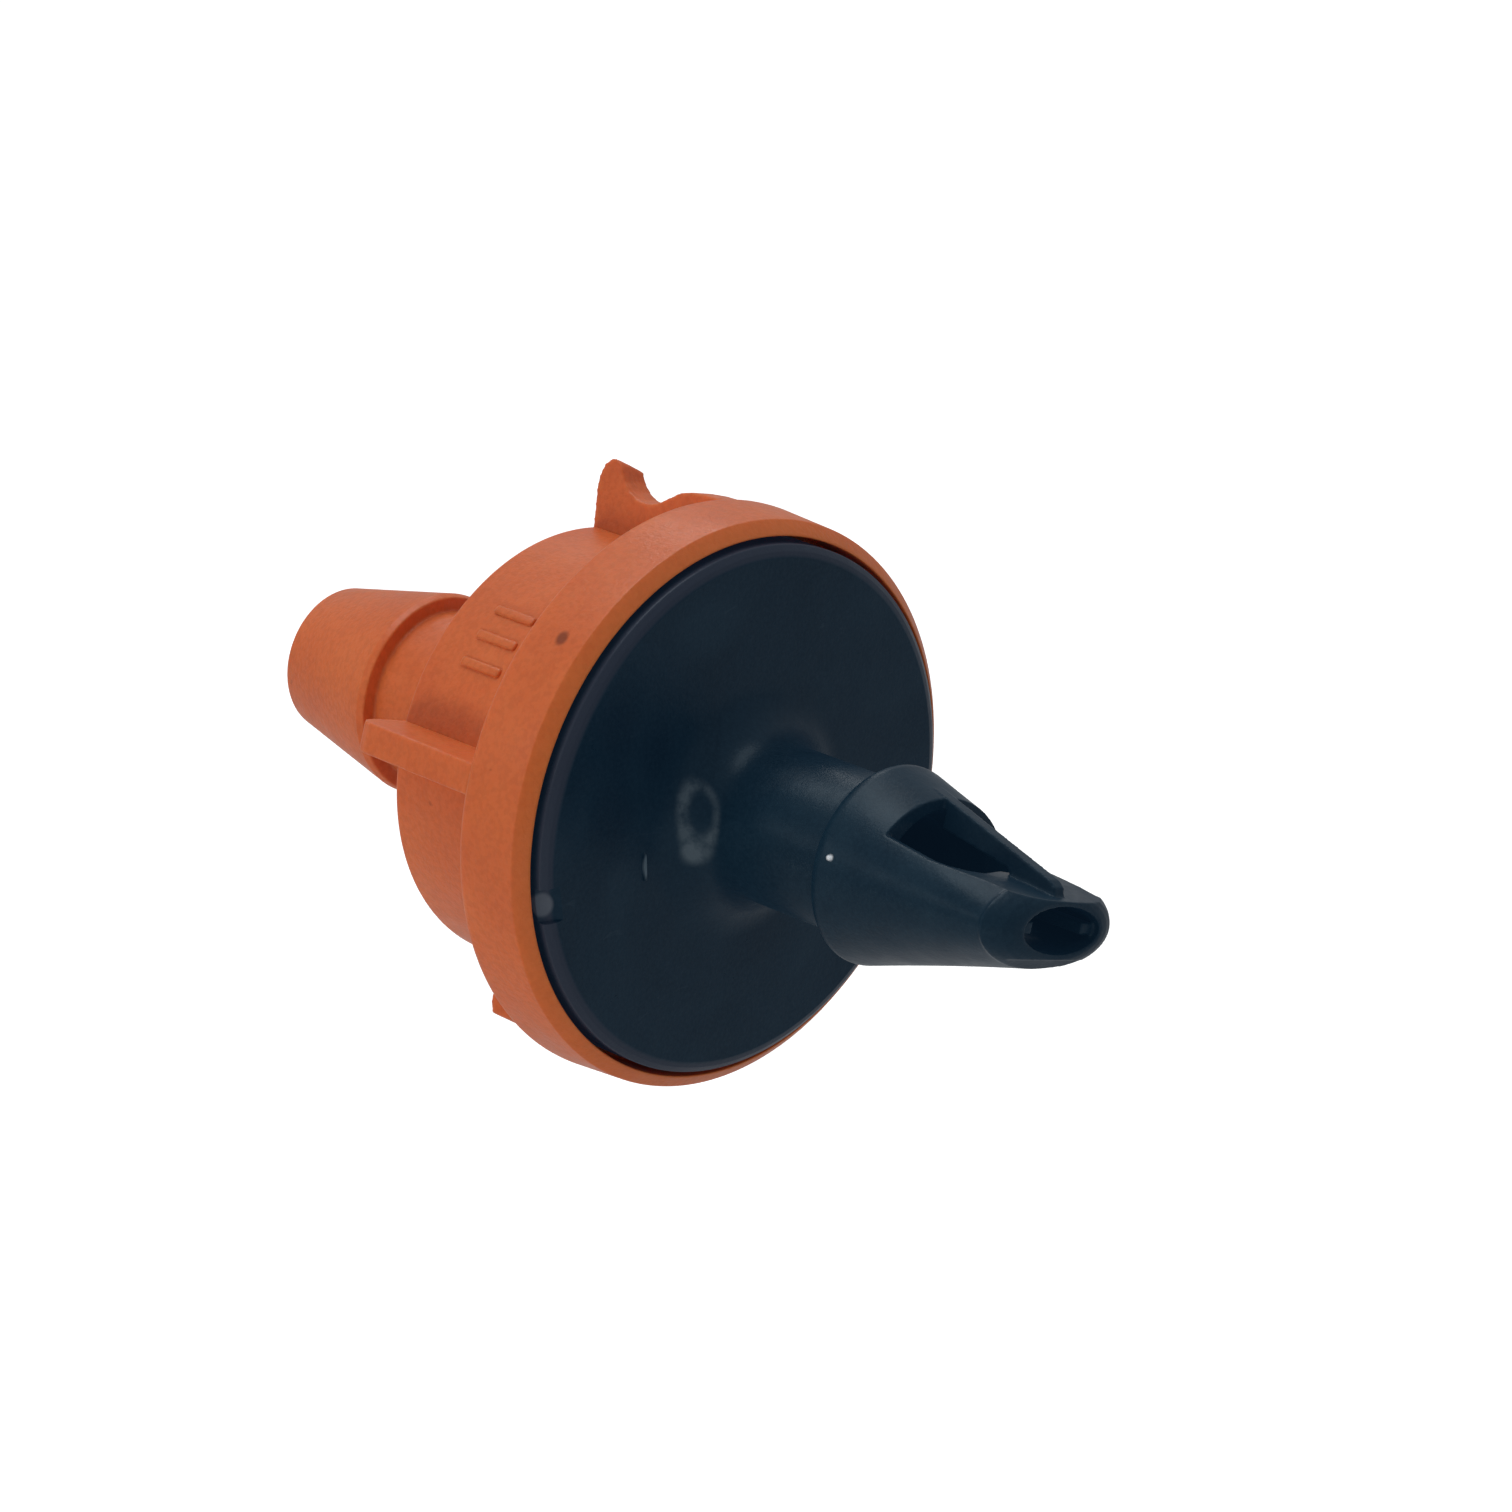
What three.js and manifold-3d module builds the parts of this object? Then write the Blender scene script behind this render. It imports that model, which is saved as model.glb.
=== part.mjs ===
// Take-apart button dripper for micro-irrigation, in millimetres.
// +X runs along the axis towards the inlet barb, +Z is up, and the origin lies on the axis
// in the plane where the base disc seats against the lateral pipe.

import * as THREE from "three";
import { mergeVertices } from "three/addons/utils/BufferGeometryUtils.js";
import Module from "manifold-3d";

const wasm = await Module();
wasm.setup();

// --- driving dimensions -------------------------------------------------------------------------

const ROUND = 64; // facets around the large turned pieces
const SMALL_ROUND = 32; // facets around bores

const FLANGE_R = 8.0;
const FLANGE_FRONT_R = 7.96; // the ring's outside has a little draft
const FLANGE_FRONT_X = -0.68;
const LIP_X = -0.33; // inner edge of the ring's sloping front lip
const FLANGE_BACK_X = -2.73;
const DRUM_R = 6.07;
const DRUM_END_X = -7.33;
const EDGE_R = 0.15;

const NIPPLE_NECK_R = 2.4;
const NIPPLE_CREST_R = 2.87;
const NIPPLE_CREST_X = -12.27;
const NIPPLE_END_R = 2.05;
const NIPPLE_END_X = -16.4;
const NIPPLE_BORE_R = 1.05;

const WING_COUNT = 4;
const PHASE = 16.5; // degrees from +Z towards +Y, for the first wing and the barb's flat face
const WING_THICK = 0.86;
const WING_TIP_R = 8.03;
const WING_TIP_SLOPE = 18; // degrees

const RECESS_R = 7.48;
const RECESS_FLOOR_X = -1.75;
const COVER_BORE_R = 5.32;
const COVER_FLOOR_X = -6.5;

const DISC_R = 7.34;
const DISC_CHAMFER = 0.34;
const DISC_BACK_X = -1.65;
const SPIGOT_R = 5.2;
const SPIGOT_END_X = -3.55;
const BEAD_R = 5.27;
const CHAMBER_R = 3.7;
const CHAMBER_END_X = -2.85; // the ring that faces the diaphragm
const GATE_ANGLE = -60; // degrees from +Z towards +Y, where water passes the diaphragm's rim

const FOOT_FILLET = 1.4; // between the seating face and the barb neck
const NECK_R = 2.18;
const CREST_X = 5.35;
const CREST_R = 2.76;
const STEP_X = 7.02; // where the flat faces and the windows begin
const TONGUE_R = 2.42; // half width of the tongue at the nose
const NOSE_X = 11.7;
const NOSE_EDGE_X = 11.05;
const NOSE_FLATTENING = 0.5; // thickness over width of the outline at the nose
const TONGUE_HALF_START = 1.15; // half thickness between the flat faces at the step
const TONGUE_HALF_END = 0.77; // and at the nose
const FLAT_LEAN = 2.2; // degrees that the flat face leans away from square to the strut
const STRUT_THICK = 0.4;
const WINDOW_HALF = 2.02;
const WINDOW_HALF_END = 1.84;
const WINDOW_END_X = 9.55;
const WINDOW_DEPTH = 0.9; // below the axis
const INLET_BORE_R = 1.6;
const NOSE_HOLE_HALF_WIDE = 1.45;
const NOSE_HOLE_HALF_THIN = 0.64;

const DIAPHRAGM_R = 4.55;
const DIAPHRAGM_FRONT_X = -2.88;
const DIAPHRAGM_THICK = 0.9;
const SKIRT_INNER_R = 4.65; // the spigot's rim that centres the diaphragm

const INSERT_R = 5.26;
const INSERT_FRONT_X = -4.1; // ledge that stops the diaphragm
const INSERT_BACK_X = -6.46;
const SEAT_R = 1.3;
const SEAT_HOLE_R = 0.45;
const SEAT_X = -4.25;
const REGULATING_R = 3.5;
const REGULATING_FLOOR_X = -4.8;
const CHANNEL_INNER_R = 2.5;
const CHANNEL_OUTER_R = 4.7;
const CHANNEL_DEPTH = 0.85;
const TOOTH_COUNT = 15;
const TOOTH_REACH = 1.25;
const TOOTH_WIDTH = 0.42;

// --- helpers ------------------------------------------------------------------------------------

const rad = (degrees) => (degrees * Math.PI) / 180;

/** A manifold solid from a closed three.js geometry. */
function solid(geometry) {
  geometry.deleteAttribute("normal");
  geometry.deleteAttribute("uv");
  const merged = mergeVertices(geometry, 1e-5);
  const p = merged.attributes.position.array;
  const index = merged.index.array;
  let triangles = [];
  for (let i = 0; i < index.length; i += 3) {
    const [a, b, c] = [index[i], index[i + 1], index[i + 2]];
    if (a !== b && b !== c && c !== a) triangles.push([a, b, c]);
  }
  let volume = 0;
  const at = (k) => new THREE.Vector3(p[3 * k], p[3 * k + 1], p[3 * k + 2]);
  for (const [a, b, c] of triangles) {
    volume += at(a).dot(at(b).cross(at(c)));
  }
  if (volume < 0) triangles = triangles.map(([a, b, c]) => [a, c, b]);
  return new wasm.Manifold(
    new wasm.Mesh({
      numProp: 3,
      vertProperties: new Float32Array(p),
      triVerts: new Uint32Array(triangles.flat()),
    }),
  );
}

/** Surface turned about the X axis from [x, r] pairs; closes on the axis at both ends. */
function turnedGeometry(profile, facets = ROUND) {
  const points = [[profile[0][0], 0], ...profile, [profile.at(-1)[0], 0]];
  const geometry = new THREE.LatheGeometry(
    points.map(([x, r]) => new THREE.Vector2(r, x)),
    facets,
  );
  geometry.rotateZ(-Math.PI / 2);
  return geometry;
}

const turned = (profile, facets) => solid(turnedGeometry(profile, facets));

/** Round bar between two stations, with its own radius at each. */
function bar(x0, r0, x1, r1, facets = SMALL_ROUND) {
  return turned([[x0, r0], [x1, r1]], facets);
}

/** Points of an arc about (cx, cr), in [x, r] pairs. */
function arc(cx, cr, radius, from, to, steps = 3) {
  return Array.from({ length: steps + 1 }, (_, i) => {
    const angle = rad(from + ((to - from) * i) / steps);
    return [cx + radius * Math.cos(angle), cr + radius * Math.sin(angle)];
  });
}

/** Plate whose outline lies in the X-Z plane, of a thickness along Y about y = 0. */
function plate(outline, thick) {
  const shape = new THREE.Shape(outline.map(([x, z]) => new THREE.Vector2(x, z)));
  const geometry = new THREE.ExtrudeGeometry(shape, { depth: thick, bevelEnabled: false });
  geometry.translate(0, 0, -thick / 2);
  geometry.rotateX(Math.PI / 2);
  return solid(geometry);
}

/** Prism whose outline lies in the X-Y plane, from z0 up to z1. */
function prism(outline, z0, z1) {
  const shape = new THREE.Shape(outline.map(([x, y]) => new THREE.Vector2(x, y)));
  const geometry = new THREE.ExtrudeGeometry(shape, { depth: z1 - z0, bevelEnabled: false });
  geometry.translate(0, 0, z0);
  return solid(geometry);
}

/** Box given by its extents along X, Y and Z. */
function block(x0, x1, y0, y1, z0, z1) {
  const geometry = new THREE.BoxGeometry(x1 - x0, y1 - y0, z1 - z0);
  geometry.translate((x0 + x1) / 2, (y0 + y1) / 2, (z0 + z1) / 2);
  return solid(geometry);
}

/** Turns a solid about the X axis; positive angles carry +Z towards +Y. */
const spin = (body, degrees) => body.rotate([-degrees, 0, 0]);

/** Joins a list of solids. */
const union = (bodies) => bodies.reduce((whole, next) => whole.add(next));

/** Named mesh of a solid, with its plastic or rubber. */
function piece(name, body, colour, roughness) {
  const { vertProperties, triVerts } = body.getMesh();
  const geometry = new THREE.BufferGeometry();
  geometry.setAttribute("position", new THREE.BufferAttribute(new Float32Array(vertProperties), 3));
  geometry.setIndex(new THREE.BufferAttribute(new Uint32Array(triVerts), 1));
  geometry.computeVertexNormals();
  const material = new THREE.MeshStandardMaterial({ color: colour, roughness, metalness: 0 });
  const mesh = new THREE.Mesh(geometry, material);
  mesh.name = name;
  return mesh;
}

// --- inlet base: seating disc, barb and spigot ---------------------------------------------------

/** Narrows a turned barb in thickness from its crest to the nose, so that it ends as an oval. */
function flatten(geometry) {
  const p = geometry.attributes.position;
  for (let i = 0; i < p.count; i += 1) {
    const along = (p.getX(i) - CREST_X) / (NOSE_EDGE_X - CREST_X);
    const share = Math.min(Math.max(along, 0), 1);
    p.setZ(i, p.getZ(i) * (1 - (1 - NOSE_FLATTENING) * share));
  }
  return geometry;
}

function inletBarb() {
  const stations = 5;
  const cone = Array.from({ length: stations }, (_, i) => {
    const share = (i + 1) / (stations + 1);
    const x = CREST_X + 0.1 + (NOSE_EDGE_X - CREST_X - 0.1) * share;
    return [x, CREST_R + (TONGUE_R - CREST_R) * share];
  });
  const outside = turnedGeometry([
    [-0.5, NECK_R + FOOT_FILLET],
    ...arc(FOOT_FILLET, NECK_R + FOOT_FILLET, FOOT_FILLET, 180, 270, 6),
    [4.75, NECK_R],
    [4.9, NECK_R + 0.1],
    [CREST_X - 0.2, CREST_R - 0.12],
    [CREST_X - 0.05, CREST_R - 0.02],
    [CREST_X + 0.1, CREST_R],
    ...cone,
    [NOSE_EDGE_X, TONGUE_R],
    [NOSE_EDGE_X + 0.22, TONGUE_R - 0.1],
    [11.5, TONGUE_R - 0.34],
    [11.64, TONGUE_R - 0.62],
    [NOSE_X, TONGUE_R - 0.86],
  ]);
  const round = solid(flatten(outside));
  // flat face of the tongue above, and a short one below at the nose only
  const flat = [
    [STEP_X, TONGUE_HALF_START],
    [8.6, 0.93],
    [10.3, 0.89],
    [NOSE_X + 0.1, TONGUE_HALF_END],
    [NOSE_X + 0.1, 4],
    [STEP_X, 4],
  ];
  const above = spin(plate(flat, 8), FLAT_LEAN);
  const flatBelow = [
    [NOSE_EDGE_X - 0.2, -1.35],
    [NOSE_EDGE_X + 0.25, -0.88],
    [NOSE_X + 0.1, -TONGUE_HALF_END],
    [NOSE_X + 0.1, -4],
    [NOSE_EDGE_X - 0.2, -4],
  ];
  const below = plate(flatBelow, 8);
  // a strut bridges the window and runs on along the tongue
  const strutOutline = [
    [STEP_X - 0.5, 2.42],
    [STEP_X, 2.3],
    [11.08, 1.2],
    [11.3, 1.05],
    [11.4, 0.66],
    [10.0, 0.66],
    [9.55, 1.12],
    [STEP_X, 1.5],
    [STEP_X - 0.5, 1.9],
  ];
  const strut = plate(strutOutline, STRUT_THICK);
  // window into the tongue, on both sides of the strut
  const endHalf = WINDOW_HALF_END;
  const window = prism(
    [
      [STEP_X, -WINDOW_HALF],
      [WINDOW_END_X - 0.5, -endHalf],
      [WINDOW_END_X - 0.15, 0.35 - endHalf],
      [WINDOW_END_X, 0.8 - endHalf],
      [WINDOW_END_X - 0.35, 0],
      [WINDOW_END_X, endHalf - 0.8],
      [WINDOW_END_X - 0.15, endHalf - 0.35],
      [WINDOW_END_X - 0.5, endHalf],
      [STEP_X, WINDOW_HALF],
    ],
    -WINDOW_DEPTH,
    3,
  );
  const noseHole = bar(8.4, NOSE_HOLE_HALF_WIDE, 13, NOSE_HOLE_HALF_WIDE)
    .scale([1, 1, NOSE_HOLE_HALF_THIN / NOSE_HOLE_HALF_WIDE]);
  // parting-line ribs along the inner side walls of the nose
  const rib = block(9.1, 11.5, 0.95, 1.7, -0.15, 0.17);
  const ribs = rib.add(rib.mirror([0, 1, 0]));
  const tongue = round
    .subtract(above)
    .subtract(below)
    .subtract(window)
    .subtract(noseHole)
    .add(ribs)
    .add(strut);
  return spin(tongue, PHASE);
}

function inletBase() {
  const disc = turned([
    [SPIGOT_END_X, SPIGOT_R - 0.2],
    [SPIGOT_END_X + 0.2, SPIGOT_R],
    [-3.15, SPIGOT_R],
    [-3.0, BEAD_R],
    [-2.8, BEAD_R],
    [-2.6, SPIGOT_R],
    [DISC_BACK_X, SPIGOT_R],
    [DISC_BACK_X, DISC_R - 0.15],
    [DISC_BACK_X + 0.15, DISC_R],
    [-0.2, DISC_R],
    [-0.07, DISC_R - DISC_CHAMFER / 2],
    [0, DISC_R - DISC_CHAMFER],
  ]);
  const chamber = turned([
    [SPIGOT_END_X - 1, SKIRT_INNER_R],
    [CHAMBER_END_X, SKIRT_INNER_R],
    [CHAMBER_END_X, CHAMBER_R],
    [DISC_BACK_X + 0.1, CHAMBER_R],
  ]);
  const bore = turned(
    [
      [-2, INLET_BORE_R + 0.1],
      [6.0, INLET_BORE_R],
      [STEP_X + 0.1, 2.0],
    ],
    SMALL_ROUND,
  );
  // pry notch in the rim of the disc, and the water gate in the spigot's skirt
  const notch = spin(block(-0.4, 0.5, -0.5, 0.5, DISC_R - 0.28, DISC_R + 1), -96);
  const gate = spin(block(SPIGOT_END_X - 1, -2.1, -0.55, 0.55, 3, 6), GATE_ANGLE);
  return disc.add(inletBarb()).subtract(chamber).subtract(bore).subtract(notch).subtract(gate);
}

// --- outlet cover: ring, drum, wings and nipple --------------------------------------------------

/** A plain wing: its outer edge runs straight from the drum's end to the ring. */
function plainWing() {
  const outline = [
    [DRUM_END_X + 0.02, 5.7],
    [DRUM_END_X - 0.06, 6.4],
    [-7.45, 7.1],
    [-7.38, 7.4],
    [-7.2, 7.62],
    [-6.9, 7.72],
    [-6.2, 7.75],
    [-4.6, 7.82],
    [FLANGE_BACK_X + 0.2, 7.93],
    [FLANGE_BACK_X + 0.2, 5.7],
  ];
  return plate(outline, WING_THICK);
}

/** A notched wing: a lobe at the drum's end and a shoulder by the ring. */
function notchedWing() {
  const outline = [
    [DRUM_END_X + 0.02, 5.7],
    [DRUM_END_X - 0.06, 6.4],
    [-7.5, 7.1],
    [-7.48, 7.5],
    [-7.38, 7.79],
    [-7.2, 7.97],
    [-6.98, WING_TIP_R],
    [-6.75, 7.9],
    [-6.5, 7.5],
    [-6.24, 7.28],
    [-5.9, 7.14],
    [-5.55, 7.11],
    [-5.2, 7.2],
    [-4.8, 7.44],
    [-4.4, 7.7],
    [-3.95, 7.82],
    [-3.4, 7.88],
    [FLANGE_BACK_X + 0.2, 7.92],
    [FLANGE_BACK_X + 0.2, 5.7],
  ];
  // the outer lobe's tip slopes down towards one side
  const slope = spin(block(-8.3, -6.3, -0.3, 1.5, 0, 0.8), WING_TIP_SLOPE)
    .translate([0, -WING_THICK / 2, WING_TIP_R]);
  return plate(outline, WING_THICK).subtract(slope);
}

function outletCover() {
  const shell = turned([
    [NIPPLE_END_X, NIPPLE_END_R - 0.1],
    [NIPPLE_END_X + 0.1, NIPPLE_END_R],
    [NIPPLE_CREST_X - 0.2, NIPPLE_CREST_R],
    [NIPPLE_CREST_X - 0.04, NIPPLE_CREST_R - 0.03],
    [NIPPLE_CREST_X, NIPPLE_CREST_R - 0.1],
    [NIPPLE_CREST_X, NIPPLE_NECK_R],
    [DRUM_END_X - 0.25, NIPPLE_NECK_R],
    [DRUM_END_X - 0.07, NIPPLE_NECK_R + 0.07],
    [DRUM_END_X, NIPPLE_NECK_R + 0.25],
    ...arc(DRUM_END_X + EDGE_R, DRUM_R - EDGE_R, EDGE_R, 180, 90, 2),
    ...arc(FLANGE_BACK_X - 0.3, DRUM_R + 0.3, 0.3, 270, 360, 2),
    ...arc(FLANGE_BACK_X + EDGE_R, FLANGE_R - EDGE_R, EDGE_R, 180, 90, 2),
    [FLANGE_FRONT_X - 0.1, FLANGE_FRONT_R + 0.01],
    [FLANGE_FRONT_X + 0.01, FLANGE_FRONT_R - 0.04],
    [LIP_X, RECESS_R],
  ]);
  const inside = turned([
    [COVER_FLOOR_X, COVER_BORE_R],
    [RECESS_FLOOR_X - 0.15, COVER_BORE_R],
    [RECESS_FLOOR_X, COVER_BORE_R + 0.15],
    [RECESS_FLOOR_X, RECESS_R],
    [1, RECESS_R],
  ]);
  const bore = bar(NIPPLE_END_X - 1, NIPPLE_BORE_R, COVER_FLOOR_X + 1, NIPPLE_BORE_R);
  const wings = Array.from({ length: WING_COUNT }, (_, i) =>
    spin(i % 2 ? plainWing() : notchedWing(), PHASE + (i * 360) / WING_COUNT),
  );
  // size marks moulded on the drum: three short raised bars
  const marks = [0, 1, 2].map((i) =>
    spin(block(-6.1, -4.6, -0.14, 0.14, DRUM_R - 0.3, DRUM_R + 0.1), -34 - 8 * i),
  );
  return union([shell, ...wings, ...marks]).subtract(inside).subtract(bore);
}

// --- labyrinth insert ----------------------------------------------------------------------------

function labyrinthInsert() {
  const blank = turned([
    [INSERT_BACK_X, INSERT_R],
    [INSERT_FRONT_X, INSERT_R],
  ]);
  const well = turned([
    [REGULATING_FLOOR_X, REGULATING_R],
    [INSERT_FRONT_X + 1, REGULATING_R],
  ]);
  const seat = bar(REGULATING_FLOOR_X - 0.2, SEAT_R, SEAT_X, SEAT_R - 0.15);
  const hole = bar(INSERT_BACK_X - 1, SEAT_HOLE_R, INSERT_FRONT_X + 1, SEAT_HOLE_R);
  // ring channel in the back face, with teeth that reach in from both walls by turns
  const floor = INSERT_BACK_X + CHANNEL_DEPTH;
  const core = bar(INSERT_BACK_X - 2, CHANNEL_INNER_R, INSERT_BACK_X + 2, CHANNEL_INNER_R, ROUND);
  const ring = bar(INSERT_BACK_X - 1, CHANNEL_OUTER_R, floor, CHANNEL_OUTER_R, ROUND).subtract(core);
  const pitch = 360 / (TOOTH_COUNT + 1);
  const teeth = Array.from({ length: 2 * TOOTH_COUNT }, (_, i) => {
    const fromOuter = i % 2 === 0;
    const r0 = fromOuter ? CHANNEL_OUTER_R - TOOTH_REACH : CHANNEL_INNER_R - 0.3;
    const r1 = fromOuter ? CHANNEL_OUTER_R + 0.3 : CHANNEL_INNER_R + TOOTH_REACH;
    const tooth = block(INSERT_BACK_X, floor + 0.2, -TOOTH_WIDTH / 2, TOOTH_WIDTH / 2, r0, r1);
    return spin(tooth, GATE_ANGLE + pitch * (1 + i / 2));
  });
  // wall between the two ends of the channel, entry from the rim, and exit into the well
  const stop = spin(block(INSERT_BACK_X, floor + 0.2, -0.3, 0.3, 2.3, 4.9), GATE_ANGLE + pitch / 2);
  const entry = spin(block(INSERT_BACK_X - 1, INSERT_FRONT_X + 1, -0.5, 0.5, 4.9, 6), GATE_ANGLE);
  const inlet = spin(block(INSERT_BACK_X - 1, floor, -0.5, 0.5, 4.2, 6), GATE_ANGLE);
  const passage = block(INSERT_BACK_X - 1, INSERT_FRONT_X + 1, -0.35, 0.35, 2.6, 3.3);
  const exit = spin(passage, GATE_ANGLE + pitch * 0.95);
  return blank
    .subtract(well)
    .add(seat)
    .subtract(hole)
    .subtract(ring)
    .add(union([...teeth, stop]))
    .subtract(entry)
    .subtract(inlet)
    .subtract(exit);
}

// --- silicone diaphragm --------------------------------------------------------------------------

function diaphragm() {
  const back = DIAPHRAGM_FRONT_X - DIAPHRAGM_THICK;
  return turned(
    [
      [back, DIAPHRAGM_R - 0.12],
      [back + 0.12, DIAPHRAGM_R],
      [DIAPHRAGM_FRONT_X - 0.12, DIAPHRAGM_R],
      [DIAPHRAGM_FRONT_X, DIAPHRAGM_R - 0.12],
    ],
    48,
  );
}

// --- the assembly --------------------------------------------------------------------------------

const group = new THREE.Group();
group.name = "drip_emitter";
group.add(
  piece("inlet_base", inletBase(), 0x1b2831, 0.42),
  piece("silicone_diaphragm", diaphragm(), 0xd9d4c8, 0.55),
  piece("labyrinth_insert", labyrinthInsert(), 0x232a2f, 0.45),
  piece("outlet_cover", outletCover(), 0xb86440, 0.48),
);

export default group;
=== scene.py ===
"""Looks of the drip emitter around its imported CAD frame. Lengths are in millimetres, scaled to metres."""

import math

import bmesh
import bpy
from mathutils import Euler, Matrix, Vector

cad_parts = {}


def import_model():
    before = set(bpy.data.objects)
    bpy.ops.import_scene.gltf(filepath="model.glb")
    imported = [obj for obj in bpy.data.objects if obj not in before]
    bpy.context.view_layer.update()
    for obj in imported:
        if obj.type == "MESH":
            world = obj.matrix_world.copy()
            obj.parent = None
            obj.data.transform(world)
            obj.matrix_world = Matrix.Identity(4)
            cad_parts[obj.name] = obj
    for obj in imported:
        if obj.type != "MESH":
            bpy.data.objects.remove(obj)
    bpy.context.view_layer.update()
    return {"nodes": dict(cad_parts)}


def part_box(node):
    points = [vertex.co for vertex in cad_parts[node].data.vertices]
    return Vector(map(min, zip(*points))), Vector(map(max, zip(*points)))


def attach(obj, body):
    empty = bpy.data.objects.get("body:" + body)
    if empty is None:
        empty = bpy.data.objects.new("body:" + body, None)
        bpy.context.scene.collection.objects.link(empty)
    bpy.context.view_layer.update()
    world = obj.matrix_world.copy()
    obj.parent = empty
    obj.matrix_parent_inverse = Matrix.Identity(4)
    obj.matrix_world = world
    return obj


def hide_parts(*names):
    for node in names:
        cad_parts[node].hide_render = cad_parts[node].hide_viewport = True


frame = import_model()

MM = 0.001
TURN = 2 * math.pi
PHASE = 16.5  # degrees from +Z towards +Y: first wing, and the barb's flat faces

base_low, base_high = (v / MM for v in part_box("inlet_base"))
cover_low, cover_high = (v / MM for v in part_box("outlet_cover"))
rubber_low, rubber_high = (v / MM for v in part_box("silicone_diaphragm"))

NOSE_X = base_high.x
SPIGOT_X = base_low.x
NIPPLE_X = cover_low.x
LIP_X = cover_high.x


# --- mesh helpers ----------------------------------------------------------------------------------


def make(name, bm, smooth_angle=None):
    """Object from a bmesh in millimetres."""
    bmesh.ops.recalc_face_normals(bm, faces=bm.faces[:])
    mesh = bpy.data.meshes.new(name)
    bm.to_mesh(mesh)
    bm.free()
    mesh.transform(Matrix.Scale(MM, 4))
    obj = bpy.data.objects.new(name, mesh)
    bpy.context.scene.collection.objects.link(obj)
    shade(obj, smooth_angle)
    return obj


def shade(obj, smooth_angle=None):
    """Smooth shading, with edges sharper than an angle kept sharp."""
    mesh = obj.data
    mesh.shade_smooth()
    if smooth_angle is not None:
        mesh.set_sharp_from_angle(angle=math.radians(smooth_angle))


def arc(cx, cr, radius, start, end, steps):
    """Points (x, r) of an arc about (cx, cr), angles in degrees."""
    points = []
    for i in range(steps + 1):
        a = math.radians(start + (end - start) * i / steps)
        points.append((cx + radius * math.cos(a), cr + radius * math.sin(a)))
    return points


def rounded(corners, steps=5):
    """Closed outline of (x, r, rounding) corners, each eased by a curve of about its own radius."""
    out = []
    points = [Vector((x, r)) for x, r, _ in corners]
    count = len(points)
    for i, here in enumerate(points):
        radius = corners[i][2]
        before = points[i - 1] - here
        after = points[(i + 1) % count] - here
        half = before.angle(after) / 2
        if radius <= 0 or half > math.radians(89):
            out.append(tuple(here))
            continue
        reach = min(radius / math.tan(half), before.length * 0.48, after.length * 0.48)
        start = here + before.normalized() * reach
        end = here + after.normalized() * reach
        for k in range(steps + 1):
            t = k / steps
            p = start * (1 - t) ** 2 + here * 2 * t * (1 - t) + end * t * t
            out.append(tuple(p))
    return out


def lathe(outline, segments):
    """Solid ring from a closed outline of (x, r) points turned about the X axis."""
    bm = bmesh.new()
    rings = []
    for k in range(segments):
        a = TURN * k / segments
        rings.append([bm.verts.new((x, r * math.sin(a), r * math.cos(a))) for x, r in outline])
    count = len(outline)
    for k in range(segments):
        here, there = rings[k], rings[(k + 1) % segments]
        for i in range(count):
            j = (i + 1) % count
            bm.faces.new((here[i], here[j], there[j], there[i]))
    return bm


def prism(outline, low, high, axis="z"):
    """Prism of an outline: in Y-Z along X, in X-Z along Y, or in X-Y along Z."""
    bm = bmesh.new()

    def at(p, w):
        return {"x": (w, p[0], p[1]), "y": (p[0], w, p[1]), "z": (p[0], p[1], w)}[axis]

    bottom = [bm.verts.new(at(p, low)) for p in outline]
    top = [bm.verts.new(at(p, high)) for p in outline]
    bm.faces.new(bottom)
    bm.faces.new(top[::-1])
    for i in range(len(outline)):
        j = (i + 1) % len(outline)
        bm.faces.new((bottom[i], bottom[j], top[j], top[i]))
    return bm


def bar(back, front, back_r, front_r):
    """Solid round bar or cone along the X axis, between two places on it."""
    bm = bmesh.new()
    length = front - back
    bmesh.ops.create_cone(bm, cap_ends=True, segments=96, radius1=back_r, radius2=front_r, depth=length)
    bmesh.ops.rotate(bm, verts=bm.verts[:], matrix=Matrix.Rotation(math.pi / 2, 3, "Y"))
    bmesh.ops.translate(bm, verts=bm.verts[:], vec=((back + front) / 2, 0, 0))
    return bm


def move(bm, y, z):
    """Shifts a bmesh across the X axis."""
    bmesh.ops.translate(bm, verts=bm.verts[:], vec=(0, y, z))
    return bm


def spin(bm, degrees):
    """Turns a bmesh about the X axis; positive carries +Z towards +Y."""
    bmesh.ops.rotate(bm, verts=bm.verts[:], matrix=Matrix.Rotation(-math.radians(degrees), 3, "X"))
    return bm


def boolean(obj, tool_bm, operation):
    """Cuts a tool from a piece, or joins it on."""
    tool = make("tool", tool_bm)
    modifier = obj.modifiers.new("boolean", "BOOLEAN")
    modifier.object = tool
    modifier.operation = operation
    modifier.solver = "MANIFOLD"
    bake(obj)
    bpy.data.objects.remove(tool)


def cut(obj, tool_bm):
    boolean(obj, tool_bm, "DIFFERENCE")


def join(obj, tool_bm):
    boolean(obj, tool_bm, "UNION")


def bake(obj):
    """Replaces an object's mesh by its evaluated one and drops the modifiers."""
    graph = bpy.context.evaluated_depsgraph_get()
    mesh = bpy.data.meshes.new_from_object(obj.evaluated_get(graph))
    obj.modifiers.clear()
    obj.data = mesh


def soften(obj, voxel, rounds):
    """Gives a piece evenly spaced faces and moulded, slightly rounded edges."""
    remesh = obj.modifiers.new("remesh", "REMESH")
    remesh.mode = "VOXEL"
    remesh.voxel_size = voxel * MM
    remesh.use_smooth_shade = True
    smooth = obj.modifiers.new("smooth", "SMOOTH")
    smooth.factor = 0.5
    smooth.iterations = rounds
    bake(obj)
    shade(obj)


# --- materials -------------------------------------------------------------------------------------


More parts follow.
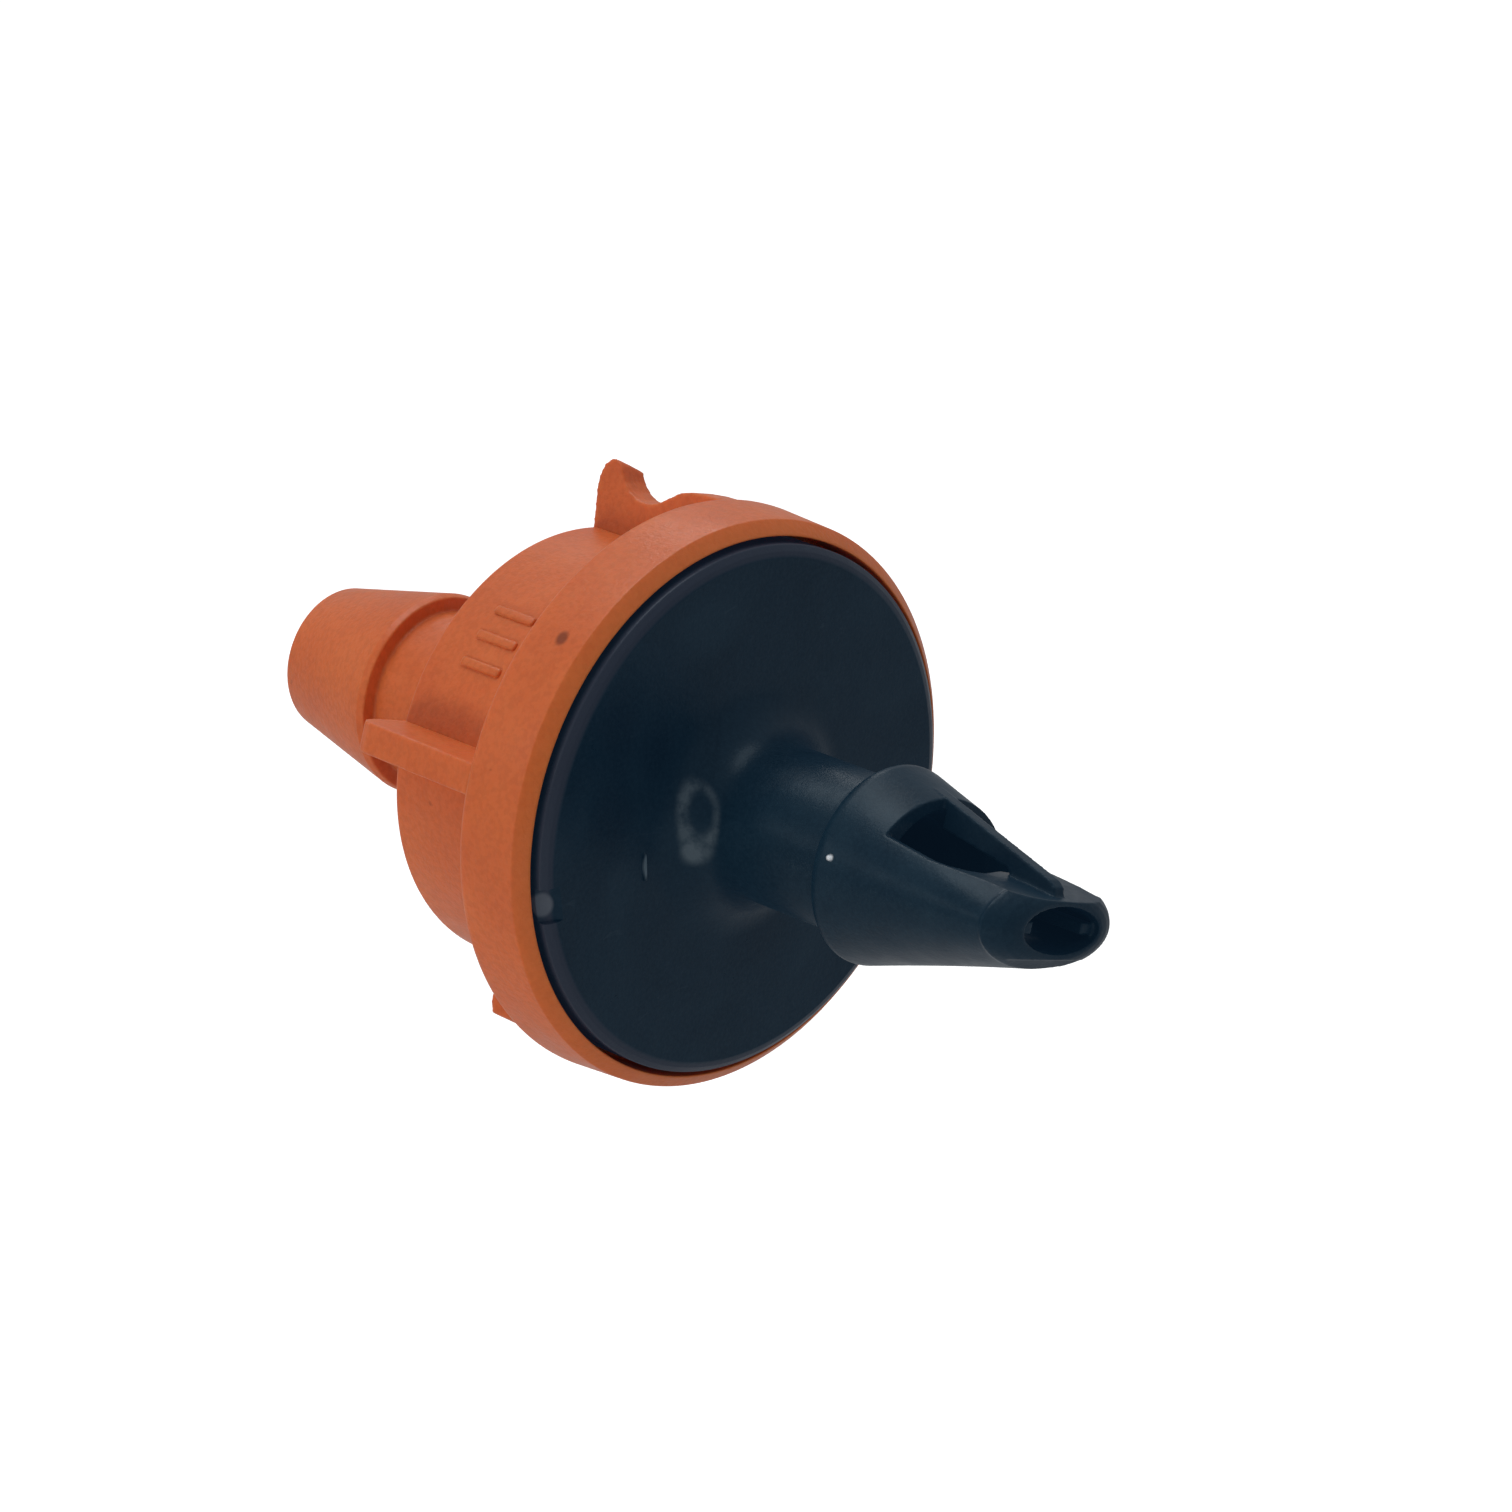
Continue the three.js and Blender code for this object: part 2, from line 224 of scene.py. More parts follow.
def linear(r, g, b):
    """Linear colour of an sRGB one given in 0 to 255."""
    return tuple(((c / 255 + 0.055) / 1.055) ** 2.4 if c > 10 else c / 255 / 12.92 for c in (r, g, b)) + (1,)


class Nodes:
    """Short forms for building a node tree."""

    def __init__(self, name):
        self.material = bpy.data.materials.new(name)
        self.material.use_nodes = True
        self.tree = self.material.node_tree
        self.shader = self.tree.nodes["Principled BSDF"]
        self.place = self.add("ShaderNodeTexCoord").outputs["Object"]

    def add(self, kind, **values):
        node = self.tree.nodes.new(kind)
        for key, value in values.items():
            setattr(node, key, value)
        return node

    def link(self, source, target):
        self.tree.links.new(source, target)

    def math(self, operation, a, b=None, clamp=False):
        node = self.add("ShaderNodeMath", operation=operation, use_clamp=clamp)
        for socket, value in zip(node.inputs, (a, b)):
            if value is None:
                continue
            if isinstance(value, (int, float)):
                socket.default_value = value
            else:
                self.link(value, socket)
        return node.outputs[0]

    def noise(self, scale, detail, roughness, stretch=(1, 1, 1), distortion=0.0):
        """Noise with features about 1/scale mm across."""
        mapping = self.add("ShaderNodeMapping")
        mapping.inputs["Scale"].default_value = [s / MM for s in stretch]
        self.link(self.place, mapping.inputs["Vector"])
        node = self.add("ShaderNodeTexNoise")
        node.inputs["Scale"].default_value = scale
        node.inputs["Detail"].default_value = detail
        node.inputs["Roughness"].default_value = roughness
        node.inputs["Distortion"].default_value = distortion
        self.link(mapping.outputs[0], node.inputs["Vector"])
        return node.outputs["Fac"]

    def ramp(self, value, *stops):
        node = self.add("ShaderNodeValToRGB")
        ramp = node.color_ramp
        while len(ramp.elements) < len(stops):
            ramp.elements.new(0.5)
        for element, (place, colour) in zip(ramp.elements, stops):
            element.position = place
            if isinstance(colour, (int, float)):
                colour = (colour, colour, colour, 1)
            element.color = colour
        self.link(value, node.inputs[0])
        return node.outputs[0]

    def mix(self, share, a, b):
        node = self.add("ShaderNodeMix", data_type="RGBA")
        for socket, value in ((node.inputs[0], share), (node.inputs[6], a), (node.inputs[7], b)):
            if isinstance(value, (int, float, tuple)):
                socket.default_value = value
            else:
                self.link(value, socket)
        return node.outputs[2]

    def spot(self, centre, size, soft):
        """1 inside an ellipsoid at a place in mm, fading to 0 at its edge."""
        mapping = self.add("ShaderNodeMapping", vector_type="TEXTURE")
        mapping.inputs["Location"].default_value = [c * MM for c in centre]
        mapping.inputs["Scale"].default_value = [s * MM for s in size]
        self.link(self.place, mapping.inputs["Vector"])
        length = self.add("ShaderNodeVectorMath", operation="LENGTH")
        self.link(mapping.outputs[0], length.inputs[0])
        node = self.add("ShaderNodeMapRange", interpolation_type="SMOOTHSTEP")
        node.inputs["From Min"].default_value = 1.0
        node.inputs["From Max"].default_value = 1.0 - soft
        self.link(length.outputs["Value"], node.inputs["Value"])
        return node.outputs[0]

    def step(self, value, low, high):
        """0 below a value in mm, rising to 1 above another."""
        node = self.add("ShaderNodeMapRange", interpolation_type="SMOOTHSTEP")
        node.inputs["From Min"].default_value = low * MM
        node.inputs["From Max"].default_value = high * MM
        self.link(value, node.inputs["Value"])
        return node.outputs[0]

    def along(self):
        """Place along the emitter's axis."""
        split = self.add("ShaderNodeSeparateXYZ")
        self.link(self.place, split.inputs[0])
        return split.outputs[0]

    def radius(self):
        """Distance from the emitter's axis."""
        flat = self.add("ShaderNodeVectorMath", operation="MULTIPLY")
        self.link(self.place, flat.inputs[0])
        flat.inputs[1].default_value = (0, 1, 1)
        length = self.add("ShaderNodeVectorMath", operation="LENGTH")
        self.link(flat.outputs[0], length.inputs[0])
        return length.outputs["Value"]

    def bump(self, height, distance, strength, normal=None):
        node = self.add("ShaderNodeBump")
        node.inputs["Strength"].default_value = strength
        node.inputs["Distance"].default_value = distance * MM
        self.link(height, node.inputs["Height"])
        if normal is not None:
            self.link(normal, node.inputs["Normal"])
        return node.outputs[0]


LIP_LIGHT_TINT_FADE = (-0.74, -0.68)  # along the axis, where the painted ochre tint of light on the ring's front lip begins
FLECK = ((-1.49, -5.3, 5.95), (0.24, 0.3, 0.3))


def orange_plastic():
    """Moulded orange polypropylene: soft sheen, faint mottling, a fine grain and painted ochre light on the
    front lip.
    """
    n = Nodes("orange_plastic")
    clouds = n.noise(0.35, 4, 0.55)
    grain = n.noise(9, 3, 0.6)
    colour = n.ramp(
        clouds,
        (0.3, linear(208, 99, 50)),
        (0.55, linear(215, 106, 54)),
        (0.78, linear(221, 115, 62)),
    )
    colour = n.mix(n.math("MULTIPLY", grain, 0.2), colour, linear(228, 146, 104))
    pits = n.ramp(n.noise(5.5, 2, 0.5), (0.4, 1.0), (0.56, 0.0))
    colour = n.mix(n.math("MULTIPLY", pits, 0.12), colour, linear(140, 58, 26))
    # painted light: the ring's front lip is tinted ochre for the light that falls on it there
    lip = n.step(n.along(), *LIP_LIGHT_TINT_FADE)
    colour = n.mix(n.math("MULTIPLY", lip, 0.4), colour, linear(214, 112, 44))
    specks = n.ramp(n.noise(1.7, 2, 0.5), (0.75, 0.0), (0.8, 1.0))
    colour = n.mix(n.math("MULTIPLY", specks, 0.35), colour, linear(120, 52, 30))
    fleck = n.spot(*FLECK, 0.6)
    colour = n.mix(n.math("MULTIPLY", fleck, 0.75), colour, linear(110, 50, 32))
    n.link(colour, n.shader.inputs["Base Color"])
    rough = n.ramp(n.noise(1.4, 4, 0.6), (0.3, 0.3), (0.7, 0.42))
    n.link(rough, n.shader.inputs["Roughness"])
    fine = n.bump(n.noise(8, 3, 0.6), 0.022, 0.7)
    n.link(n.bump(n.noise(0.9, 3, 0.5), 0.04, 0.5, fine), n.shader.inputs["Normal"])
    n.shader.inputs["Subsurface Weight"].default_value = 0.22
    n.shader.inputs["Subsurface Radius"].default_value = (1.0, 0.34, 0.14)
    n.shader.inputs["Subsurface Scale"].default_value = 0.9 * MM
    n.shader.inputs["Specular IOR Level"].default_value = 0.3
    return n.material


# places and half sizes of the marks on the black plastic, and of its painted highlights and glint
DARK_PATCHES = (
    ((0, -4.6, 3.6), (1, 1.0, 1.5)),
    ((0, -4.9, 1.3), (1, 1.1, 1.9)),
    ((0, -3.3, 2.6), (1, 0.9, 1.2)),
    ((0, 0.6, -3.6), (1, 1.6, 1.2)),
)
LIGHT_PATCHES = (
    ((0, -1.2, 5.6), (1, 2.2, 1.2)),
    ((0, -4.6, -0.9), (1, 1.0, 1.1)),
)
# painted highlight on the barb's foot fillet: a ring between an outer and an inner spot, and a tail below it
FOOT_HIGHLIGHT_OUTER = ((0.6, -2.38, 0.62), (0.75, 0.62, 1.5))
FOOT_HIGHLIGHT_INNER = ((0.66, -2.3, 0.82), (0.5, 0.42, 0.95))
FOOT_HIGHLIGHT_TAIL = ((0.5, -2.5, -0.35), (0.5, 0.4, 0.5))
TICK_SPOT = ((0.05, -3.76, -0.5), (0.3, 0.09, 0.42))
# painted glint on the nib behind the barb's crest
NIB_GLINT_SPOT = ((5.76, -2.6, 1.07), (0.14, 0.14, 0.14))
# painted light on the floor of the pry notch in the disc's rim
NOTCH_LIGHT_SPOT = ((-0.25, -7.2, -0.75), (0.5, 0.32, 0.42))


def black_plastic():
    """Moulded blue-black polypropylene with faint smears, darker patches and a fine grain, plus painted
    highlights, a painted rim reflection and a faint glow of painted light.
    """
    n = Nodes("black_plastic")
    clouds = n.noise(0.28, 5, 0.6, distortion=0.6)
    colour = n.ramp(
        clouds,
        (0.34, (0.0014, 0.0085, 0.0158, 1)),
        (0.55, (0.0036, 0.0138, 0.024, 1)),
        (0.75, (0.0072, 0.021, 0.0335, 1)),
    )
    for centre, size in DARK_PATCHES:
        share = n.math("MULTIPLY", n.spot(centre, size, 0.8), 0.55)
        colour = n.mix(share, colour, (0.0006, 0.004, 0.0095, 1))
    for centre, size in LIGHT_PATCHES:
        share = n.math("MULTIPLY", n.spot(centre, size, 0.8), 0.4)
        colour = n.mix(share, colour, (0.012, 0.03, 0.046, 1))
    grain = n.ramp(n.noise(8, 3, 0.65), (0.38, 0.0), (0.66, 1.0))
    colour = n.mix(n.math("MULTIPLY", grain, 0.2), colour, (0.018, 0.042, 0.064, 1))
    # painted reflection: the disc's bevelled rim is lightened to a purple-grey, as if it reflected the ring
    # and the lights
    rim = n.math("MULTIPLY", n.step(n.radius(), 6.98, 7.1), n.step(n.along(), -0.5, -0.2))
    colour = n.mix(n.math("MULTIPLY", rim, 0.75), colour, (0.036, 0.036, 0.05, 1))
    # painted highlights: a ring and its tail on the barb's foot fillet, the nib's glint and the notch's lit
    # floor; the tick is coloured paler
    ring = n.math("SUBTRACT", n.spot(*FOOT_HIGHLIGHT_OUTER, 0.35), n.spot(*FOOT_HIGHLIGHT_INNER, 0.5), clamp=True)
    ring = n.math("MULTIPLY", ring, n.ramp(n.noise(2.6, 4, 0.65), (0.35, 0.2), (0.6, 0.75)))
    tail = n.math("MULTIPLY", n.spot(*FOOT_HIGHLIGHT_TAIL, 0.8), 0.7)
    colour = n.mix(n.math("ADD", ring, tail, clamp=True), colour, (0.095, 0.125, 0.145, 1))
    colour = n.mix(n.spot(*TICK_SPOT, 0.5), colour, (0.11, 0.15, 0.18, 1))
    colour = n.mix(n.spot(*NIB_GLINT_SPOT, 0.6), colour, (0.8, 0.85, 0.9, 1))
    colour = n.mix(n.spot(*NOTCH_LIGHT_SPOT, 0.35), colour, (0.09, 0.1, 0.12, 1))
    scuffs = n.ramp(n.noise(2.6, 4, 0.6, (1, 0.35, 1), 1.2), (0.66, 0.0), (0.74, 1.0))
    colour = n.mix(n.math("MULTIPLY", scuffs, 0.16), colour, (0.045, 0.07, 0.09, 1))
    n.link(colour, n.shader.inputs["Base Color"])
    rough = n.ramp(n.noise(0.8, 5, 0.65, distortion=0.8), (0.3, 0.27), (0.7, 0.4))
    n.link(rough, n.shader.inputs["Roughness"])
    fine = n.bump(n.noise(12, 3, 0.6), 0.01, 0.5)
    n.link(n.bump(n.noise(0.7, 4, 0.55), 0.05, 0.5, fine), n.shader.inputs["Normal"])
    n.shader.inputs["Specular IOR Level"].default_value = 0.17
    n.shader.inputs["Specular Tint"].default_value = (0.72, 0.9, 1.0, 1)
    # painted light: a faint bluish glow that evenly lifts the dark plastic's shade
    n.shader.inputs["Emission Color"].default_value = (0.16, 0.48, 1.0, 1)
    n.shader.inputs["Emission Strength"].default_value = 0.0105
    return n.material


def charcoal_plastic():
    """Darker moulded plastic of the labyrinth."""
    n = Nodes("charcoal_plastic")
    colour = n.ramp(n.noise(0.8, 4, 0.6), (0.35, linear(26, 30, 34)), (0.7, linear(40, 45, 49)))
    n.link(colour, n.shader.inputs["Base Color"])
    n.link(n.ramp(n.noise(2.2, 4, 0.6), (0.3, 0.36), (0.7, 0.5)), n.shader.inputs["Roughness"])
    n.link(n.bump(n.noise(12, 3, 0.6), 0.01, 0.5), n.shader.inputs["Normal"])
    return n.material


def silicone():
    """Milky silicone with a dull, slightly dusty skin."""
    n = Nodes("silicone")
    colour = n.ramp(n.noise(0.7, 4, 0.6), (0.3, linear(206, 200, 186)), (0.7, linear(224, 219, 208)))
    n.link(colour, n.shader.inputs["Base Color"])
    n.link(n.ramp(n.noise(3, 4, 0.6), (0.3, 0.42), (0.7, 0.6)), n.shader.inputs["Roughness"])
    n.link(n.bump(n.noise(8, 3, 0.6), 0.012, 0.5), n.shader.inputs["Normal"])
    n.shader.inputs["Subsurface Weight"].default_value = 0.5
    n.shader.inputs["Subsurface Radius"].default_value = (1.0, 0.9, 0.75)
    n.shader.inputs["Subsurface Scale"].default_value = 0.8 * MM
    return n.material


def pale_floor():
    """Near-white floor, greyer where the object is lit by it or reflects it."""
    n = Nodes("pale_floor")
    colour = n.ramp(n.noise(0.02, 3, 0.5), (0.3, linear(244, 244, 244)), (0.7, linear(248, 248, 247)))
    seen = n.add("ShaderNodeLightPath").outputs["Is Camera Ray"]
    colour = n.mix(seen, (0.4, 0.4, 0.4, 1), colour)
    n.link(colour, n.shader.inputs["Base Color"])
    n.shader.inputs["Roughness"].default_value = 0.9
    n.shader.inputs["Emission Color"].default_value = (1, 1, 1, 1)
    n.link(n.math("ADD", n.math("MULTIPLY", seen, 0.41), 0.13), n.shader.inputs["Emission Strength"])
    return n.material


ORANGE = orange_plastic()
BLACK = black_plastic()
CHARCOAL = charcoal_plastic()
SILICONE = silicone()


def dress(obj, material, body, slot, *nodes):
    """Gives a piece its material and body, and hides the CAD nodes that it stands for; the slot is not used.
    """
    obj.data.materials.clear()
    obj.data.materials.append(material)
    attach(obj, body)
    if nodes:
        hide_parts(*nodes)
    return obj


# --- inlet base ------------------------------------------------------------------------------------

NECK_R, FOOT = 2.18, 1.4  # FOOT is the neck's fillet into the disc
DISC_R, DISC_BACK = 7.34, -1.65
SPIGOT_R, SKIRT_R = 5.2, 4.65
SNAP_BEAD = 0.07
CHAMBER_R, CHAMBER_BACK, CHAMBER_FRONT = 3.7, -2.85, -1.55
BORE_R, SINK_R = 1.6, 2.0
HEAD_START = 4.7
NOTCH_TURN, NOTCH_HALF, NOTCH_DEPTH = -96, 0.5, 0.62
GATE_TURN, GATE_HALF = -60, 0.55


def seat_disc():
    """Disc with its spigot, chamber, neck and bore, with the pry notch and the water gate cut."""
    corners = [
        (0, NECK_R + FOOT, 0),
        (0, DISC_R - 0.34, 0.1),
        (-0.07, DISC_R - 0.17, 0.1),
        (-0.2, DISC_R, 0.09),
        (DISC_BACK, DISC_R, 0.15),
        (DISC_BACK, SPIGOT_R, 0.15),
        (-2.6, SPIGOT_R, 0.1),
        (-2.8, SPIGOT_R + SNAP_BEAD, 0.05),
        (-3.0, SPIGOT_R + SNAP_BEAD, 0.05),
        (-3.15, SPIGOT_R, 0.1),
        (SPIGOT_X, SPIGOT_R, 0.2),
        (SPIGOT_X, SKIRT_R, 0.08),
        (CHAMBER_BACK, SKIRT_R, 0.05),
        (CHAMBER_BACK, CHAMBER_R, 0.08),
        (CHAMBER_FRONT, CHAMBER_R, 0.1),
        (CHAMBER_FRONT, BORE_R + 0.05, 0.1),
        (5.6, BORE_R, 0.05),
        (5.6, SINK_R, 0.05),
        (4.9, NECK_R - 0.02, 0.05),
        (4.6, NECK_R, 0.02),
    ]
    outline = rounded(corners)
    outline += arc(FOOT, NECK_R + FOOT, FOOT, 270, 180, 16)[:-1]
    obj = make("seat_disc", lathe(outline, 320))
    bottom = DISC_R - NOTCH_DEPTH
    notch = [(-0.46, DISC_R + 0.06), (0.06, bottom), (0.6, bottom), (0.6, 9), (-0.46, 9)]
    cut(obj, spin(prism(notch, -NOTCH_HALF, NOTCH_HALF, "y"), NOTCH_TURN))
    gate = [(-4.5, -GATE_HALF), (-2.1, -GATE_HALF), (-2.1, GATE_HALF), (-4.5, GATE_HALF)]
    cut(obj, spin(prism(gate, 3.9, 6), GATE_TURN))
    shade(obj, 32)
    return obj


CREST_X, CREST_R = 5.35, 2.76
STEP_X, NOSE_EDGE_X, TONGUE_R = 7.02, 11.05, 2.42  # STEP_X is where the flat face starts
WINDOW_END_X, WINDOW_HALF, WINDOW_HALF_END = 9.55, 2.02, 1.84
NOSE_FLATTENING = 0.5  # share of its height that the barb loses by its nose
NOSE_HOLE_HALF_WIDE, NOSE_HOLE_HALF_THIN = 1.45, 0.64
FLAT_LEAN = 2.2
STRUT_HALF = 0.2


def barb_body():
    """Barb from its crest to the nose, round at the crest and oval at the nose."""
    profile = [
        (HEAD_START, 1.9),
        (HEAD_START, NECK_R - 0.03),
        (4.78, NECK_R + 0.03),
        (4.9, NECK_R + 0.1),
        (CREST_X - 0.2, CREST_R - 0.12),
        (CREST_X - 0.05, CREST_R - 0.02),
        (CREST_X + 0.1, CREST_R),
    ]
    stations = 12
    for i in range(1, stations):
        share = i / stations
        x = CREST_X + 0.1 + (NOSE_EDGE_X - CREST_X - 0.1) * share
        profile.append((x, CREST_R + (TONGUE_R - CREST_R) * share))
    profile += [
        (NOSE_EDGE_X - 0.08, TONGUE_R + 0.01),
        (NOSE_EDGE_X, TONGUE_R + 0.06),
        (NOSE_EDGE_X + 0.07, TONGUE_R + 0.02),
        (NOSE_EDGE_X + 0.22, TONGUE_R - 0.1),
        (11.5, TONGUE_R - 0.34),
        (11.64, TONGUE_R - 0.62),
        (NOSE_X, TONGUE_R - 0.86),
        (NOSE_X, 0.4),
        (HEAD_START, 0.4),
    ]
    bm = lathe(profile, 192)
    for v in bm.verts:
        share = min(max((v.co.x - CREST_X) / (NOSE_EDGE_X - CREST_X), 0), 1)
        v.co.z *= 1 - NOSE_FLATTENING * share
    return make("barb_head", bm)


def flat_face():
    """What the flat face and the short flat under the nose take off the barb."""
    end = NOSE_X + 0.1
    above = [(STEP_X, 1.15), (8.6, 0.93), (10.3, 0.89), (end, 0.77), (end, 4), (STEP_X, 4)]
    below = [(10.85, -1.35), (11.3, -0.88), (end, -0.77), (end, -4), (10.85, -4)]
    return spin(prism(above, -4, 4, "y"), FLAT_LEAN), prism(below, -4, 4, "y")


def window():
    """Water window in the flat face; its end towards the nose is dented in the middle."""
    half, end = WINDOW_HALF, WINDOW_HALF_END
    outline = [
        (STEP_X, -half),
        (WINDOW_END_X - 0.5, -end),
        (WINDOW_END_X - 0.15, 0.35 - end),
        (WINDOW_END_X, 0.8 - end),
        (WINDOW_END_X - 0.35, 0),
        (WINDOW_END_X, end - 0.8),
        (WINDOW_END_X - 0.15, end - 0.35),
        (WINDOW_END_X - 0.5, end),
        (STEP_X, half),
    ]
    return prism(outline, -0.9, 3)


def nose_hole():
    """Flat oval hole from the nose into the window."""
    bm = bar(8.4, 13.0, NOSE_HOLE_HALF_WIDE, NOSE_HOLE_HALF_WIDE)
    bmesh.ops.scale(bm, verts=bm.verts[:], vec=(1, 1, NOSE_HOLE_HALF_THIN / NOSE_HOLE_HALF_WIDE))
    return bm


def strut():
    """Bridge over the window, from the crest down to the nose."""
    outline = [
        (STEP_X - 0.5, 2.42),
        (STEP_X, 2.3),
        (11.08, 1.2),
        (11.3, 1.05),
        (11.4, 0.66),
        (10.0, 0.66),
        (WINDOW_END_X, 1.12),
        (STEP_X, 1.5),
        (STEP_X - 0.5, 1.9),
    ]
    return prism(outline, -STRUT_HALF, STRUT_HALF, "y")


def barb_head():
    """Barb with its flat face, window, nose hole, two guide ribs, strut and countersunk bore."""
    obj = barb_body()
    for face in flat_face():
        cut(obj, face)
    cut(obj, window())
    cut(obj, nose_hole())
    for y0, y1 in ((0.95, 1.7), (-1.7, -0.95)):
        join(obj, prism([(9.1, y0), (11.5, y0), (11.5, y1), (9.1, y1)], -0.15, 0.17))
    join(obj, strut())
    cut(obj, bar(3.5, 6.5, BORE_R, BORE_R))
    cut(obj, bar(6.0, 7.12, BORE_R, SINK_R))
    obj.data.transform(Matrix.Rotation(-math.radians(PHASE), 4, "X"))
    soften(obj, 0.036, 3)
    return obj


def disc_tick():
    """Small upright moulding mark on the disc's face, left of the barb's foot."""
    bm = prism([(-3.81, -0.93), (-3.7, -0.93), (-3.72, -0.17), (-3.83, -0.17)], -0.1, 0.06, "x")
    bmesh.ops.bevel(bm, geom=bm.edges[:], offset=0.02, segments=2, affect="EDGES", profile=0.5)
    return make("disc_tick", bm, 40)


def crest_nib():
    """Tiny nib of flash behind the barb's crest."""
    bm = bmesh.new()
    bmesh.ops.create_uvsphere(bm, u_segments=24, v_segments=16, radius=0.1)
    bmesh.ops.scale(bm, verts=bm.verts[:], vec=(1.3, 1, 1))
    bmesh.ops.translate(bm, verts=bm.verts[:], vec=(5.68, -2.5, 1.0))
    return make("crest_nib", bm)


# --- outlet cover ----------------------------------------------------------------------------------

DRUM_R, DRUM_END = 6.07, -7.33
RING_R, RING_BACK = 8.0, -2.73
RING_FRONT_R, RING_FRONT = 7.9, -0.72
SEAT_R, SEAT_X = 7.48, -1.75  # recess that takes the disc
SOCKET_R, SOCKET_END = 5.32, -6.5  # bore that takes the spigot and the labyrinth
NIPPLE_CREST_X, NIPPLE_CREST_R = -12.27, 2.87
NIPPLE_NECK_R, NIPPLE_END_R, NIPPLE_BORE_R = 2.4, 2.05, 1.05


def cover_shell():
    """Ring, drum and nipple turned in one, hollow, with small moulded edge radii."""
    corners = [
        (NIPPLE_X, NIPPLE_END_R - 0.02, 0.16),
        (NIPPLE_CREST_X - 0.22, NIPPLE_CREST_R, 0.08),
        (NIPPLE_CREST_X, NIPPLE_CREST_R - 0.06, 0.08),
        (NIPPLE_CREST_X, NIPPLE_NECK_R, 0.1),
        (DRUM_END, NIPPLE_NECK_R, 0.25),
        (DRUM_END, DRUM_R, 0.16),
        (RING_BACK, DRUM_R, 0.28),
        (RING_BACK, RING_R, 0.26),
        (RING_FRONT, RING_FRONT_R, 0.09),
        (LIP_X, SEAT_R + 0.02, 0.05),
        (SEAT_X, SEAT_R, 0.1),
        (SEAT_X, SOCKET_R, 0.15),
        (SOCKET_END, SOCKET_R, 0.1),
        (SOCKET_END, NIPPLE_BORE_R, 0.1),
        (NIPPLE_X, NIPPLE_BORE_R, 0.12),
    ]
    return make("cover_shell", lathe(rounded(corners), 320), 40)


WING_HALF = 0.43
WING_TIP_R, WING_TIP_SLOPE = 8.03, 18

NOTCHED_WING = [
    (DRUM_END + 0.02, 5.7),
    (DRUM_END - 0.06, 6.4),
    (-7.5, 7.1),
    (-7.48, 7.5),
    (-7.38, 7.79),
    (-7.2, 7.97),
    (-6.98, WING_TIP_R),
    (-6.75, 7.9),
    (-6.5, 7.5),
    (-6.24, 7.28),
    (-5.9, 7.14),
    (-5.55, 7.11),
    (-5.2, 7.2),
    (-4.8, 7.44),
    (-4.4, 7.7),
    (-3.95, 7.82),
    (-3.4, 7.88),
    (RING_BACK + 0.2, 7.92),
    (RING_BACK + 0.2, 5.7),
]

PLAIN_WING = [
    (DRUM_END + 0.02, 5.7),
    (DRUM_END - 0.06, 6.4),
    (-7.45, 7.1),
    (-7.38, 7.4),
    (-7.2, 7.62),
    (-6.9, 7.72),
    (-6.2, 7.75),
    (-4.6, 7.82),
    (RING_BACK + 0.2, 7.93),
    (RING_BACK + 0.2, 5.7),
]


def wing(index):
    """One wing between the drum and the ring with eased edges; every other one is notched."""
    plain = index % 2 == 1
    outline = PLAIN_WING if plain else NOTCHED_WING
    obj = make(f"wing_{index}", prism(outline, -WING_HALF, WING_HALF, "y"))
    if not plain:
        wedge = prism([(-8.3, -0.3), (-6.3, -0.3), (-6.3, 1.5), (-8.3, 1.5)], 0, 0.8)
        cut(obj, move(spin(wedge, WING_TIP_SLOPE), -WING_HALF, WING_TIP_R))
    obj.data.transform(Matrix.Rotation(-math.radians(PHASE + 90 * index), 4, "X"))
    soften(obj, 0.055, 7)
    return obj


MARK_BACK, MARK_FRONT, MARK_HALF, MARK_HEIGHT = -6.1, -4.6, 0.14, 0.09
MARK_TURN, MARK_PITCH = -34, -8


def size_mark(index):
    """One short raised bar on the drum, with eased edges."""
    outline = [
        (MARK_BACK, -MARK_HALF),
        (MARK_FRONT, -MARK_HALF),
        (MARK_FRONT, MARK_HALF),
        (MARK_BACK, MARK_HALF),
    ]
    bm = prism(outline, DRUM_R - 0.2, DRUM_R + MARK_HEIGHT)
    edges = [e for e in bm.edges if max(v.co.z for v in e.verts) > DRUM_R]
    bmesh.ops.bevel(bm, geom=edges, offset=0.085, segments=4, affect="EDGES", profile=0.5)
    return make(f"size_mark_{index}", spin(bm, MARK_TURN + MARK_PITCH * index), 40)


# --- inside ----------------------------------------------------------------------------------------


RUBBER_SUNK = 0.05  # how far the disc's faces lie below its moulded ring and its edge
RUBBER_EDGE = 0.18  # rounding of its rim


def diaphragm_disc():
    """Soft disc with a rounded rim, and a faint moulded ring on its back."""
    r, front, back = rubber_high.z, rubber_high.x, rubber_low.x
    outline = [
        (back + RUBBER_SUNK, 0.02),
        (back + RUBBER_SUNK, 2.2),
        (back, 2.5),
        (back, 3.0),
        (back + RUBBER_SUNK, 3.3),
        (back + RUBBER_SUNK, 3.9),
        (back, 4.1),
    ]
    outline += arc(back + RUBBER_EDGE, r - RUBBER_EDGE, RUBBER_EDGE, 180, 90, 5)
    outline += arc(front - RUBBER_EDGE, r - RUBBER_EDGE, RUBBER_EDGE, 90, 0, 5)
    outline += [(front, 4.1), (front - RUBBER_SUNK, 3.9), (front - RUBBER_SUNK, 0.02)]
    return make("diaphragm_disc", lathe(outline, 160), 50)


